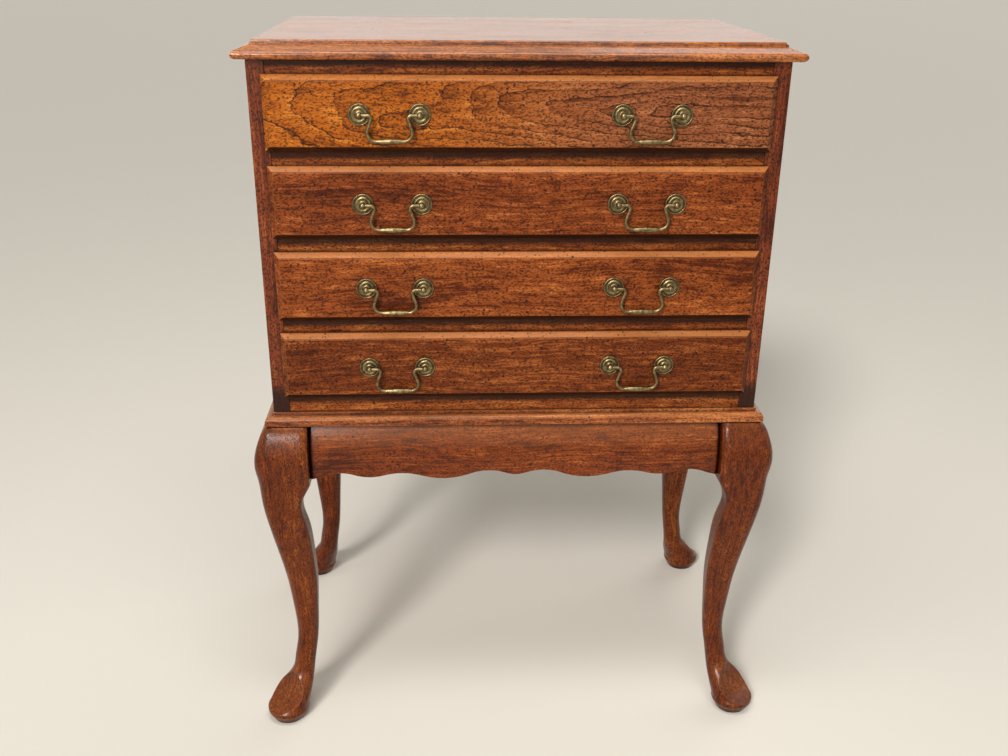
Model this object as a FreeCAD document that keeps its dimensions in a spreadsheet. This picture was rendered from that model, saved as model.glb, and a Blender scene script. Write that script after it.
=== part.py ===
import FreeCAD, Part
import Sketcher
import math
import os
from types import SimpleNamespace

# A flatware chest of four lipped drawers on a stand with cabriole legs.
# Millimetres. The origin is on the floor under the middle of the carcass; the front faces -Y.

DOC = FreeCAD.newDocument("flatware_chest")
SHEET = DOC.addObject("Spreadsheet::Sheet", "Dimensions")
DRAWER_COUNT = 4
SQUARE_ROOT_2 = math.sqrt(2)
SINE_45 = math.sin(math.radians(45))
# Two places this near to each other count as one.
CLOSE = 0.01

# Driving dimensions: name, millimetres, meaning

DIMENSIONS = (
    ("carcass_width", 572, "outer faces of the side panels"),
    ("carcass_depth", 324, "front edges of the side panels to the back panel's outer face"),
    ("side_thickness", 19, "carcass side panels"),
    ("side_edge_round", 1.2, "rounding of the side panels' front outer edges"),
    ("back_thickness", 6, "carcass back panel"),
    ("back_rebate", 8, "how far the back panel reaches into each side panel"),
    ("bottom_thickness", 9, "carcass bottom panel"),
    ("opening_height", 73.2, "clear height of one drawer opening"),
    ("top_rail_height", 18, "rail above the first drawer"),
    ("divider_height", 22, "rail between two drawers"),
    ("bottom_rail_height", 23.4, "rail below the last drawer"),
    ("rail_depth", 42, "front to back size of the rails"),
    ("rail_setback", 1, "rails behind the side panels' front edges"),
    ("runner_width", 18, "drawer runners, across"),
    ("runner_height", 16, "drawer runners, up"),
    ("cleat_width", 20, "cleats under the top panel, across"),
    ("screw_radius", 2, "wood screws, shank"),
    ("screw_head_radius", 4, "wood screws, head"),
    ("screw_head_height", 2.4, "wood screws, head"),
    ("screw_bite", 9, "how far a screw reaches into the top panel"),
    ("top_overhang", 12.6, "top panel past the carcass at front and sides"),
    ("top_lower_round", 5, "rounded lower edge of the top panel"),
    ("top_nose_round", 4, "rounded nose of the top panel, below its slope"),
    ("top_step_inset", 17.4, "step round the raised field, behind the top panel's tip"),
    ("top_step_rise", 2.1, "step above the slope"),
    ("top_step_width", 1.6, "step past the raised field"),
    ("top_field_rise", 2.4, "raised field above its step"),
    ("top_field_round", 1.9, "rounding of the raised field's edge"),
    ("leg_height", 421, "floor to the underside of the stand frame"),
    ("frame_thickness", 15, "stand frame, up"),
    ("frame_projection", 9.9, "stand frame past the carcass at front and sides"),
    ("frame_nose_radius", 6, "rounded lower member of the stand frame"),
    ("frame_ledge", 2.1, "flat between the nose and the step"),
    ("frame_step", 4, "upper member of the stand frame"),
    ("frame_width", 52, "stand frame boards, across"),
    ("post_inset", 38.5, "inner faces of the leg post inside the carcass planes"),
    ("post_projection", 7, "outer faces of the leg post at its top, past the carcass planes"),
    ("post_planing", 3, "wood planed off the inner faces of the post"),
    ("post_length", 83, "planed length of the post"),
    ("knee_projection", 25.6, "knee past the carcass planes"),
    ("knee_drop", 55, "widest part of the knee below the stand frame"),
    ("return_height", 26, "slope below the aprons, from the post in to the calf"),
    ("return_width", 48.4, "leg at the foot of that slope"),
    ("calf_width", 48, "leg below the knee, before it tapers"),
    ("ankle_width", 26.2, "narrowest part of the leg"),
    ("ankle_height", 100, "narrowest part of the leg"),
    ("ankle_inset", 17, "centre of the ankle inside the carcass planes"),
    ("foot_diameter", 53, "pad foot"),
    ("foot_offset", 10, "centre of the pad foot outside the carcass planes"),
    ("foot_wall_height", 17, "pad foot below its flare"),
    ("toe_gap", 1.2, "start of the dished toe before the front of the leg"),
    ("foot_rim_height", 15.5, "tip of the toe's rim"),
    ("sole_diameter", 41, "pad foot on the floor"),
    ("sole_height", 12, "tapered sole"),
    ("apron_height", 72.6, "aprons at their deepest"),
    ("apron_inset", 20, "back of the aprons inside the carcass planes"),
    ("apron_top_inset", 7, "top of the apron face inside the carcass planes"),
    ("apron_bulge", 8, "fullest part of the apron face past the carcass planes"),
    ("apron_bulge_drop", 54, "fullest part of the apron face below the stand frame"),
    ("apron_bottom_projection", 6, "bottom of the apron face past the carcass planes"),
    ("apron_end_round", 4, "rounding of the apron face beside the legs"),
    ("apron_spare", 2.1, "wood below the lowest lobe, sawn away"),
    ("scallop_depth", 10.5, "highest arch above the lowest lobe"),
    ("block_length", 88, "corner blocks along each apron"),
    ("block_height", 42, "corner blocks, up"),
    ("bolt_radius", 3, "corner bolts"),
    ("bolt_bite", 26, "how far a corner bolt reaches into the leg"),
    ("bolt_nut_width", 11, "corner bolt nut across its flats"),
    ("bolt_nut_height", 5, "corner bolt nut"),
    ("bolt_end", 2, "corner bolt past its nut"),
    ("lip_side", 4.1, "drawer lip over the side panels"),
    ("lip_rail", 3.05, "drawer lip over the rails"),
    ("lip_thickness", 8, "drawer lip"),
    ("lip_gap", 0.3, "drawer lip in front of the carcass"),
    ("lip_bevel", 5.2, "bevelled edge of the drawer front"),
    ("lip_field_inset", 5.8, "flat field inside the drawer front's edge"),
    ("lip_field_rise", 1.1, "flat field above the bevelled edge"),
    ("tongue_thickness", 11, "drawer front inside the opening"),
    ("tongue_top_gap", 1, "drawer front below the rail"),
    ("drawer_side_gap", 0.8, "drawer beside the side panels"),
    ("running_gap", 0.3, "drawer above its runners"),
    ("drawer_side_thickness", 11, "drawer sides"),
    ("drawer_top_gap", 9.9, "drawer sides below the rail above"),
    ("drawer_back_gap", 18, "ends of the drawer sides before the back panel"),
    ("drawer_back_thickness", 10, "drawer backs"),
    ("drawer_back_margin", 4, "drawer sides past the drawer back"),
    ("dado_depth", 4, "drawer back in the drawer sides"),
    ("tail_length", 8, "dovetails of the drawer sides"),
    ("groove_depth", 5, "drawer bottom in its grooves"),
    ("groove_rise", 8, "groove above the lower edge of the drawer sides"),
    ("drawer_bottom_thickness", 4.5, "drawer bottoms"),
    ("lining_thickness", 1.8, "felt on the drawer bottoms"),
    ("lining_gap", 0.4, "felt beside the drawer walls"),
    ("rack_height", 24, "flatware racks"),
    ("rack_thickness", 16, "flatware racks, front to back"),
    ("rack_front", 100, "first rack behind the carcass front"),
    ("rack_spacing", 112, "between the two racks"),
    ("rack_end_gap", 10, "racks beside the drawer sides"),
    ("slot_width", 17, "slots of the racks"),
    ("slot_depth", 13, "slots of the racks"),
    ("pull_offset", 138.6, "middle of a pull from the middle of the drawer"),
    ("post_spacing", 63.5, "between the two posts of a pull"),
    ("pivot_distance", 8, "bail pivot in front of the drawer face"),
    ("rosette_radius", 11.5, "round plate behind a post"),
    ("rosette_rim", 1.6, "bead round the plate, across"),
    ("rosette_rim_height", 1.9, "bead round the plate, up"),
    ("rosette_groove", 0.9, "groove inside the bead"),
    ("rosette_base", 0.8, "plate at its thinnest"),
    ("rosette_dome_height", 3, "rounded shoulder of the plate"),
    ("rosette_dish_height", 2.7, "middle of the plate"),
    ("stud_radius", 2, "threaded shank of a post"),
    ("stud_clearance", 0.1, "shank in the drawer front"),
    ("stud_end", 1.5, "shank past its nut"),
    ("thread_clearance", 0.05, "shank in its nut and plate"),
    ("collar_radius", 4.8, "foot of a post on the plate"),
    ("collar_height", 1.4, "foot of a post on the plate"),
    ("neck_radius", 2.3, "neck of a post"),
    ("ball_radius", 3.5, "head of a post"),
    ("stud_nut_width", 7, "nut of a post across its flats"),
    ("stud_nut_height", 3, "nut of a post"),
    ("wire_radius", 1.9, "bail wire"),
    ("pin_clearance", 0.05, "bail pin in its post, radially"),
    ("pin_start", 1, "end of a bail pin from the middle of its post"),
    ("pin_end_gap", 0.4, "end of a bail pin from the bottom of its hole"),
    ("bail_shoulder", 9, "start of the bail's first bend from the middle of its post"),
    ("bail_shoulder_radius", 3.6, "first bend of the bail"),
    ("bail_neck_length", 10.3, "straight between the two bends"),
    ("bail_drop", 26.8, "pivot to the middle of the grip"),
    ("grip_length", 28, "thickened part of the bail"),
    ("grip_radius", 2.9, "bail at the middle of its grip"),
    ("grip_collar_radius", 3.05, "small ring in the middle of the grip"),
    ("grip_collar_width", 1.8, "small ring in the middle of the grip"),
)

# The edge of the top panel slopes this far from the level.
TOP_SLOPE = math.radians(20)
# The neck of a bail leans this far from the vertical.
NECK_LEAN = math.radians(20)
# The dished toe ends in a flat that slopes this far from the level.
TOE_SLOPE = math.radians(25)

# Each leg section ends with the shares of its width that its outer, side and inner corners take.
# Knee: shares of the height from knee to top and of the outer face's way in
KNEE_STATIONS = (
    (1.00, 1.00, (0.16, 0.19, 0.11)),
    (0.73, 0.40, (0.19, 0.19, 0.10)),
    (0.43, 0.10, (0.22, 0.19, 0.10)),
    (0.00, 0.00, (0.23, 0.18, 0.10)),
)
# Top and foot of the slope below the aprons: share of the outer face's way in
RETURN_TOP = (0.06, (0.23, 0.17, 0.12))
RETURN_FOOT = (0.165, (0.24, 0.15, 0.46))
# Calf: shares of the drop from knee to ankle, of the outer face's way in and of the taper
CALF_STATIONS = (
    (0.31, 0.34, 0.09, (0.25, 0.15, 0.47)),
    (0.46, 0.575, 0.23, (0.27, 0.16, 0.47)),
    (0.64, 0.83, 0.51, (0.31, 0.20, 0.47)),
    (0.81, 0.975, 0.80, (0.38, 0.32, 0.47)),
    (1.00, 1.00, 1.00, (0.48, 0.48, 0.48)),
)
# Foot: shares of the drop from ankle to pad, of the way out and of the widening
FOOT_STATIONS = (
    (0.28, 0.14, 0.02),
    (0.48, 0.25, 0.08),
    (0.64, 0.48, 0.42),
    (0.82, 0.80, 0.86),
    (1.00, 1.00, 1.00),
)
# The toe's dish starts level with this foot station.
TOE_STATION = FOOT_STATIONS[1]
FOOT_CORNERS = (0.48, 0.48, 0.48)

# Scalloped lower edges, from the middle outwards: shares of the half length and of the scallop depth.
# The arcs run from one crossing point to the next through the lobe or arch between them.
FRONT_LOBES = ((0.0, 0.43), (0.140, 1.0), (0.346, 0.0), (0.564, 0.76), (0.707, 0.24), (0.862, 0.84))
FRONT_CROSSINGS = ((0.056, 0.70), (0.232, 0.50), (0.464, 0.42), (0.639, 0.50), (0.781, 0.50), (0.942, 0.38))
SIDE_LOBES = ((0.0, 0.0), (0.48, 1.0))
SIDE_CROSSINGS = ((0.25, 0.50), (0.74, 0.50))

TAILS_PER_SIDE = 3
TAIL_ROOT_SHARE = 0.27
TAIL_TIP_SHARE = 0.36
# Half-way along each half of its grip, a bail has swollen by this share.
SWELL_SHARE = 0.75
# The hollow of a post's foot bends at these shares of its way in and of its rise.
COLLAR_BEND = (0.3, 0.8)
SLOTS_PER_RACK = 12
SCREWS_PER_CLEAT = 3


class Size:
    """A length: its value now, and the sheet formula that keeps it up to date."""

    def __init__(self, value, formula):
        self.value = value
        self.formula = formula

    def __add__(self, other):
        other = as_size(other)
        return Size(self.value + other.value, f"({self.formula} + {other.formula})")

    def __sub__(self, other):
        other = as_size(other)
        return Size(self.value - other.value, f"({self.formula} - {other.formula})")

    def __mul__(self, factor):
        return Size(self.value * factor, f"({self.formula} * {as_size(factor).formula})")

    def __truediv__(self, factor):
        return Size(self.value / factor, f"({self.formula} / {as_size(factor).formula})")

    def __neg__(self):
        return self * -1

    __rmul__ = __mul__


def as_size(number):
    if isinstance(number, Size):
        return number
    return Size(float(number), f"({number:.8f})")


def blend(start, end, share):
    """The size that lies the given share of the way from one size to another."""
    return start + (end - start) * share


def third_side(hypotenuse, leg):
    """The other leg of a right-angled triangle."""
    value = math.sqrt(hypotenuse.value ** 2 - leg.value ** 2)
    return Size(value, f"sqrt({hypotenuse.formula}^2 - {leg.formula}^2)")


def read_sheet():
    """Fills the sheet and returns its cells as sizes."""
    for row, (name, millimetres, meaning) in enumerate(DIMENSIONS, start=1):
        SHEET.set(f"A{row}", name)
        SHEET.set(f"B{row}", str(millimetres))
        SHEET.set(f"C{row}", meaning)
        SHEET.setAlias(f"B{row}", name)
    DOC.recompute()
    cells = {}
    for name, millimetres, meaning in DIMENSIONS:
        cells[name] = Size(float(getattr(SHEET, name)), f"{SHEET.Name}.{name}")
    return SimpleNamespace(**cells)


D = read_sheet()

# Levels and planes shared by many pieces

half_width = D.carcass_width / 2
half_depth = D.carcass_depth / 2
front_plane = -half_depth
back_plane = half_depth
opening_half = half_width - D.side_thickness
drawer_pitch = D.opening_height + D.divider_height
carcass_height = (
    D.top_rail_height + D.opening_height * DRAWER_COUNT
    + D.divider_height * (DRAWER_COUNT - 1) + D.bottom_rail_height
)
carcass_bottom = D.leg_height + D.frame_thickness
carcass_top = carcass_bottom + carcass_height
rail_front = front_plane + D.rail_setback
rail_back = rail_front + D.rail_depth
back_panel_front = back_plane - D.back_thickness
post_face = half_width - D.post_inset
post_face_depth = half_depth - D.post_inset
knee_height = D.leg_height - D.knee_drop
ankle_outer = D.ankle_width / 2 - D.ankle_inset
apron_bottom = D.leg_height - D.apron_height


def opening_floor(number):
    """Height of the rail under a drawer; drawer 1 is at the top."""
    return carcass_bottom + D.bottom_rail_height + drawer_pitch * (DRAWER_COUNT - number)


# Drawing helpers

NORMAL_SIGN = {"XY_Plane": 1, "XZ_Plane": -1, "YZ_Plane": 1}


def bind(target, path, size):
    target.setExpression(path, as_size(size).formula)


def place(target, x, y, z):
    for axis, size in zip("xyz", (x, y, z)):
        bind(target, f"Placement.Base.{axis}", size)


def new_body(label):
    body = DOC.addObject("PartDesign::Body", label)
    body.Label = label
    return body


def origin_plane(body, role):
    return next(item for item in body.Origin.OriginFeatures if item.Role == role)


def new_sketch(body, role, along):
    """A sketch parallel to an origin plane; along is its place on the third axis."""
    sketch = body.newObject("Sketcher::SketchObject", "Outline")
    sketch.AttachmentSupport = [(origin_plane(body, role), "")]
    sketch.MapMode = "FlatFace"
    bind(sketch, "AttachmentOffset.Base.z", as_size(along) * NORMAL_SIGN[role])
    return sketch


def flat_vector(point):
    return FreeCAD.Vector(as_size(point[0]).value, as_size(point[1]).value, 0)


class Pen:
    """Collects a sketch's constraints, each bound to the size that drives it."""

    def __init__(self, sketch):
        self.sketch = sketch
        self.constraints = []
        self.formulas = {}

    def tie(self, *constraint):
        self.constraints.append(Sketcher.Constraint(*constraint))

    def measure(self, kind, references, size):
        size = as_size(size)
        self.formulas[len(self.constraints)] = size.formula
        self.tie(kind, *references, size.value)

    def pin(self, geometry, end, point):
        self.measure("DistanceX", (-1, 1, geometry, end), point[0])
        self.measure("DistanceY", (-1, 1, geometry, end), point[1])

    def finish(self):
        first = self.sketch.ConstraintCount
        self.sketch.addConstraint(self.constraints)
        for index, formula in self.formulas.items():
            self.sketch.setExpression(f"Constraints[{first + index}]", formula)


def add_segment(sketch, pen, start, step):
    """Adds a line to step, or an arc through step[0] to step[1]; returns it and its end numbers."""
    if isinstance(step[0], tuple):
        via, end = step
        arc = Part.Arc(flat_vector(start), flat_vector(via), flat_vector(end))
        geometry = sketch.addGeometry(arc, False)
        middle = sketch.addGeometry(Part.Point(flat_vector(via)), True)
        pen.pin(middle, 1, via)
        pen.tie("PointOnObject", middle, 1, geometry)
        begins_at_start = (sketch.getPoint(geometry, 1) - flat_vector(start)).Length < CLOSE
        return geometry, (1, 2) if begins_at_start else (2, 1)
    line = Part.LineSegment(flat_vector(start), flat_vector(step))
    return sketch.addGeometry(line, False), (1, 2)


def draw_chain(sketch, start, steps, closed):
    """Draws lines and arcs one after another; a step is a corner, or a (via, corner) pair for an arc."""
    pen = Pen(sketch)
    corner = start
    segments = []
    for step in steps:
        geometry, ends = add_segment(sketch, pen, corner, step)
        pen.pin(geometry, ends[0], corner)
        segments.append((geometry, ends))
        corner = step[1] if isinstance(step[0], tuple) else step
    for (geometry, ends), (following, following_ends) in zip(segments, segments[1:]):
        pen.tie("Coincident", geometry, ends[1], following, following_ends[0])
    last, last_ends = segments[-1]
    if closed:
        first, first_ends = segments[0]
        pen.tie("Coincident", last, last_ends[1], first, first_ends[0])
    else:
        pen.pin(last, last_ends[1], corner)
    pen.finish()


def draw_outline(sketch, start, *steps):
    """Draws a closed outline; a line closes it unless its last arc ends at the start."""
    if steps[-1][1] is not start:
        steps += (start,)
    draw_chain(sketch, start, steps, closed=True)


def draw_rectangle(sketch, left, right, bottom, top):
    draw_outline(sketch, (left, bottom), (right, bottom), (right, top), (left, top))


def draw_circle(sketch, centre, radius):
    pen = Pen(sketch)
    circle = Part.Circle(flat_vector(centre), FreeCAD.Vector(0, 0, 1), as_size(radius).value)
    geometry = sketch.addGeometry(circle, False)
    pen.pin(geometry, 3, centre)
    pen.measure("Radius", (geometry,), radius)
    pen.finish()


def draw_hexagon(sketch, flats):
    """A hexagon about the sketch's origin, with two flats upright."""
    radius = flats / math.sqrt(3)
    corners = []
    for turn in range(6):
        angle = math.radians(30 + 60 * turn)
        corners.append((radius * math.cos(angle), radius * math.sin(angle)))
    draw_outline(sketch, *corners)


# Solid helpers

def extrude(body, kind, role, low, high):
    """Returns a sketch and its symmetric Pad or Pocket between two places on the third axis."""
    sketch = new_sketch(body, role, (low + high) / 2)
    feature = body.newObject(f"PartDesign::{kind}", kind)
    feature.Profile = sketch
    feature.SideType = "Symmetric"
    bind(feature, "Length", high - low)
    return sketch, feature


def add_prism(body, role, low, high):
    return extrude(body, "Pad", role, as_size(low), as_size(high))


def cut_prism(body, role, low, high):
    return extrude(body, "Pocket", role, as_size(low), as_size(high))


def revolve(body, sketch, axis):
    feature = body.newObject("PartDesign::Revolution", "Revolution")
    feature.Profile = sketch
    feature.ReferenceAxis = (sketch, [axis])
    feature.Angle = 360
    return feature


def mirror_features(body, features, role):
    mirrored = body.newObject("PartDesign::Mirrored", "Mirrored")
    mirrored.Originals = features
    mirrored.MirrorPlane = (origin_plane(body, role), [""])
    body.Tip = mirrored


def pick_edges(feature, wanted):
    """The names of the feature's edges that pass the given test."""
    DOC.recompute()
    return [f"Edge{index}" for index, edge in enumerate(feature.Shape.Edges, start=1) if wanted(edge)]


def round_edges(body, feature, radius, wanted):
    names = pick_edges(feature, wanted)
    fillet = body.newObject("PartDesign::Fillet", "Fillet")
    fillet.Base = (feature, names)
    bind(fillet, "Radius", radius)


def bevel_edges(body, feature, width, wanted):
    names = pick_edges(feature, wanted)
    chamfer = body.newObject("PartDesign::Chamfer", "Chamfer")
    chamfer.Base = (feature, names)
    bind(chamfer, "Size", width)


def lies_at(low, high, size):
    return abs(low - size.value) < CLOSE and abs(high - size.value) < CLOSE


def box(label, left, right, front, back, bottom, top):
    solid = DOC.addObject("Part::Box", label)
    solid.Label = label
    bind(solid, "Length", right - left)
    bind(solid, "Width", back - front)
    bind(solid, "Height", top - bottom)
    place(solid, left, front, bottom)
    return solid


def group(label, pieces):
    compound = DOC.addObject("Part::Compound", label)
    compound.Label = label
    compound.Links = pieces
    return compound


def mirror_copy(label, source, normal):
    copy = DOC.addObject("Part::Mirroring", label)
    copy.Label = label
    copy.Source = source
    copy.Normal = FreeCAD.Vector(*normal)
    return copy


ACROSS = (1, 0, 0)
LENGTHWAYS = (0, 1, 0)


# Carcass

def right_side_panel():
    body = new_body("right_side_panel")
    inner = opening_half
    rebate = inner + D.back_rebate
    ease = D.side_edge_round
    eased = ease * (1 - SINE_45)
    sketch, _ = add_prism(body, "XY_Plane", carcass_bottom, carcass_top)
    draw_outline(
        sketch,
        (inner, front_plane),
        (half_width - ease, front_plane),
        ((half_width - eased, front_plane + eased), (half_width, front_plane + ease)),
        (half_width, back_plane),
        (rebate, back_plane),
        (rebate, back_panel_front),
        (inner, back_panel_front),
    )
    return body


def back_panel():
    edge = opening_half + D.back_rebate
    return box("back_panel", -edge, edge, back_panel_front, back_plane, carcass_bottom, carcass_top)


def bottom_panel():
    top = carcass_bottom + D.bottom_thickness
    return box("bottom_panel", -opening_half, opening_half, rail_back, back_panel_front, carcass_bottom, top)


def rail(label, bottom, height):
    return box(label, -opening_half, opening_half, rail_front, rail_back, bottom, bottom + height)


def drawer_dividers():
    pieces = []
    for number in range(1, DRAWER_COUNT):
        bottom = opening_floor(number) - D.divider_height
        pieces.append(rail(f"divider_{number}", bottom, D.divider_height))
    return group("drawer_dividers", pieces)


def drawer_runners():
    pieces = []
    for number in range(1, DRAWER_COUNT + 1):
        top = opening_floor(number)
        bottom = top - D.runner_height
        if number == DRAWER_COUNT:
            bottom = carcass_bottom + D.bottom_thickness
        for name, left in (("left", -opening_half), ("right", opening_half - D.runner_width)):
            right = left + D.runner_width
            label = f"runner_{number}_{name}"
            pieces.append(box(label, left, right, rail_back, back_panel_front, bottom, top))
    return group("drawer_runners", pieces)


def top_cleats():
    bottom = carcass_top - D.top_rail_height
    pieces = []
    for name, left in (("left", -opening_half), ("right", opening_half - D.cleat_width)):
        right = left + D.cleat_width
        pieces.append(box(f"cleat_{name}", left, right, rail_back, back_panel_front, bottom, carcass_top))
    return group("top_cleats", pieces)


def top_screws():
    body = new_body("top_screws")
    underside = carcass_top - D.top_rail_height
    centre = opening_half - D.cleat_width / 2
    shanks, _ = add_prism(body, "XY_Plane", underside, carcass_top + D.screw_bite)
    heads, _ = add_prism(body, "XY_Plane", underside - D.screw_head_height, underside)
    for index in range(SCREWS_PER_CLEAT):
        depth = blend(rail_back, back_panel_front, (index + 0.5) / SCREWS_PER_CLEAT)
        for side in (centre, -centre):
            draw_circle(shanks, (side, depth), D.screw_radius)
            draw_circle(heads, (side, depth), D.screw_head_radius)
    return body


slope_start = D.top_nose_round * (1 - math.sin(TOP_SLOPE))
nose_level = carcass_top + D.top_lower_round
slope_bottom = nose_level + D.top_nose_round * math.cos(TOP_SLOPE)
slope_top = slope_bottom + (D.top_step_inset - slope_start) * math.tan(TOP_SLOPE)
step_top = slope_top + D.top_step_rise
field_inset = D.top_step_inset + D.top_step_width
field_top = step_top + D.top_field_rise


def top_edge(tip, inward):
    """The moulded edge from underside to field; tip is its outermost place and inward is +1 or -1."""
    lower_cut = D.top_lower_round * (1 - SINE_45)
    half_turn = (math.radians(90) - TOP_SLOPE) / 2
    nose_via = D.top_nose_round * (1 - math.cos(half_turn))
    nose_via_level = nose_level + D.top_nose_round * math.sin(half_turn)
    field_round = D.top_field_round
    field_cut = field_round * (1 - SINE_45)

    def spot(inset, level):
        return tip + inset * inward, level

    return (
        spot(D.top_lower_round, carcass_top),
        (spot(lower_cut, carcass_top + lower_cut), spot(0, nose_level)),
        (spot(nose_via, nose_via_level), spot(slope_start, slope_bottom)),
        spot(D.top_step_inset, slope_top),
        spot(D.top_step_inset, step_top),
        spot(field_inset, step_top),
        spot(field_inset, field_top - field_round),
        (spot(field_inset + field_cut, field_top - field_cut), spot(field_inset + field_round, field_top)),
    )


def top_panel():
    """The front edge runs the whole width; the side edges are cut along the depth and meet it in mitres."""
    body = new_body("top_panel")
    tip = half_width + D.top_overhang
    tip_front = front_plane - D.top_overhang
    beyond = tip + D.top_overhang
    sketch, _ = add_prism(body, "YZ_Plane", -tip, tip)
    draw_outline(sketch, *top_edge(tip_front, 1), (back_plane, field_top), (back_plane, carcass_top))
    sketch, _ = cut_prism(body, "XZ_Plane", tip_front, back_plane)
    for side in (1, -1):
        outside = beyond * side
        draw_outline(sketch, *top_edge(tip * side, -side), (outside, field_top), (outside, carcass_top))
    return body


# Stand frame, the moulded waist between carcass and legs

def frame_profile(tip, inward):
    """Corners of the moulded section; tip is its outermost place and inward is +1 or -1."""
    nose = D.frame_nose_radius
    nose_bottom = carcass_bottom - D.frame_step - nose
    ledge_level = carcass_bottom - D.frame_step
    nose_end = tip + nose * inward
    rise = nose * (1 - SINE_45)
    via = (tip + rise * inward, ledge_level - rise)
    step = nose_end + D.frame_ledge * inward
    inner = tip + D.frame_width * inward
    return (
        (tip, D.leg_height),
        (tip, nose_bottom),
        (via, (nose_end, ledge_level)),
        (step, ledge_level),
        (step, carcass_bottom),
        (inner, carcass_bottom),
        (inner, D.leg_height),
    )


def stand_frame_front():
    body = new_body("stand_frame_front")
    tip = half_width + D.frame_projection
    tip_front = front_plane - D.frame_projection
    inner = tip - D.frame_width
    inner_front = tip_front + D.frame_width
    sketch, _ = add_prism(body, "YZ_Plane", -tip, tip)
    draw_outline(sketch, *frame_profile(tip_front, 1))
    sketch, _ = cut_prism(body, "XY_Plane", D.leg_height, carcass_bottom)
    draw_outline(sketch, (tip, tip_front), (tip, inner_front), (inner, inner_front))
    draw_outline(sketch, (-tip, tip_front), (-tip, inner_front), (-inner, inner_front))
    return body


def stand_frame_sides():
    body = new_body("stand_frame_right")
    tip = half_width + D.frame_projection
    tip_front = front_plane - D.frame_projection
    inner = tip - D.frame_width
    sketch, _ = add_prism(body, "XZ_Plane", tip_front, back_plane)
    draw_outline(sketch, *frame_profile(tip, -1))
    sketch, _ = cut_prism(body, "XY_Plane", D.leg_height, carcass_bottom)
    draw_outline(sketch, (tip, tip_front), (inner, tip_front), (inner, tip_front + D.frame_width))
    return group("stand_frame_sides", [body, mirror_copy("stand_frame_left", body, ACROSS)])


def stand_frame_back():
    inner = half_width + D.frame_projection - D.frame_width
    front = back_plane - D.frame_width + D.frame_projection
    return box("stand_frame_back", -inner, inner, front, back_plane, D.leg_height, carcass_bottom)


# Legs

def leg_section(body, height, outer, width, corners):
    """A square section with rounded corners; outer is how far its outer faces pass the carcass planes."""
    sketch = new_sketch(body, "XY_Plane", height)
    inner = outer - width
    outer_corner, side_corner, inner_corner = (width * share for share in corners)
    outer_cut, side_cut, inner_cut = (width * share * (1 - SINE_45) for share in corners)
    start = (inner + inner_corner, inner)
    draw_outline(
        sketch,
        start,
        (outer - side_corner, inner),
        ((outer - side_cut, inner + side_cut), (outer, inner + side_corner)),
        (outer, outer - outer_corner),
        ((outer - outer_cut, outer - outer_cut), (outer - outer_corner, outer)),
        (inner + side_corner, outer),
        ((inner + side_cut, outer - side_cut), (inner, outer - side_corner)),
        (inner, inner + inner_corner),
        ((inner + inner_cut, inner + inner_cut), start),
    )
    return sketch


def knee_sections(body):
    sections = []
    for rise, way_in, corners in KNEE_STATIONS:
        height = blend(knee_height, D.leg_height, rise)
        outer = blend(D.knee_projection, D.post_projection, way_in)
        width = outer + D.post_inset + D.post_planing
        sections.append(leg_section(body, height, outer, width, corners))
    return sections


def return_sections(body):
    """The post ends level with the aprons and slopes in to the calf."""
    top_way_in, top_corners = RETURN_TOP
    top_outer = blend(D.knee_projection, ankle_outer, top_way_in)
    top_width = top_outer + D.post_inset + D.post_planing
    foot_way_in, foot_corners = RETURN_FOOT
    foot_outer = blend(D.knee_projection, ankle_outer, foot_way_in)
    foot_height = apron_bottom - D.return_height
    return [
        leg_section(body, apron_bottom + D.post_planing * 2, top_outer, top_width, top_corners),
        leg_section(body, foot_height, foot_outer, D.return_width, foot_corners),
    ]


def calf_sections(body):
    sections = []
    for drop, way_in, taper, corners in CALF_STATIONS:
        height = blend(knee_height, D.ankle_height, drop)
        outer = blend(D.knee_projection, ankle_outer, way_in)
        width = blend(D.calf_width, D.ankle_width, taper)
        sections.append(leg_section(body, height, outer, width, corners))
    return sections


def foot_section(body, height, centre, width):
    return leg_section(body, height, centre + width / 2, width, FOOT_CORNERS)


def foot_station(drop, way_out, widening):
    """Height, centre and width of the foot at one of its stations."""
    height = blend(D.ankle_height, D.foot_wall_height, drop)
    centre = blend(-D.ankle_inset, D.foot_offset, way_out)
    width = blend(D.ankle_width, D.foot_diameter, widening)
    return height, centre, width


def foot_sections(body):
    return [foot_section(body, *foot_station(*station)) for station in FOOT_STATIONS]


def loft(body, sections, ruled):
    feature = body.newObject("PartDesign::AdditiveLoft", "Loft")
    feature.Profile = sections[0]
    feature.Sections = sections[1:]
    feature.Ruled = ruled
    return feature


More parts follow.
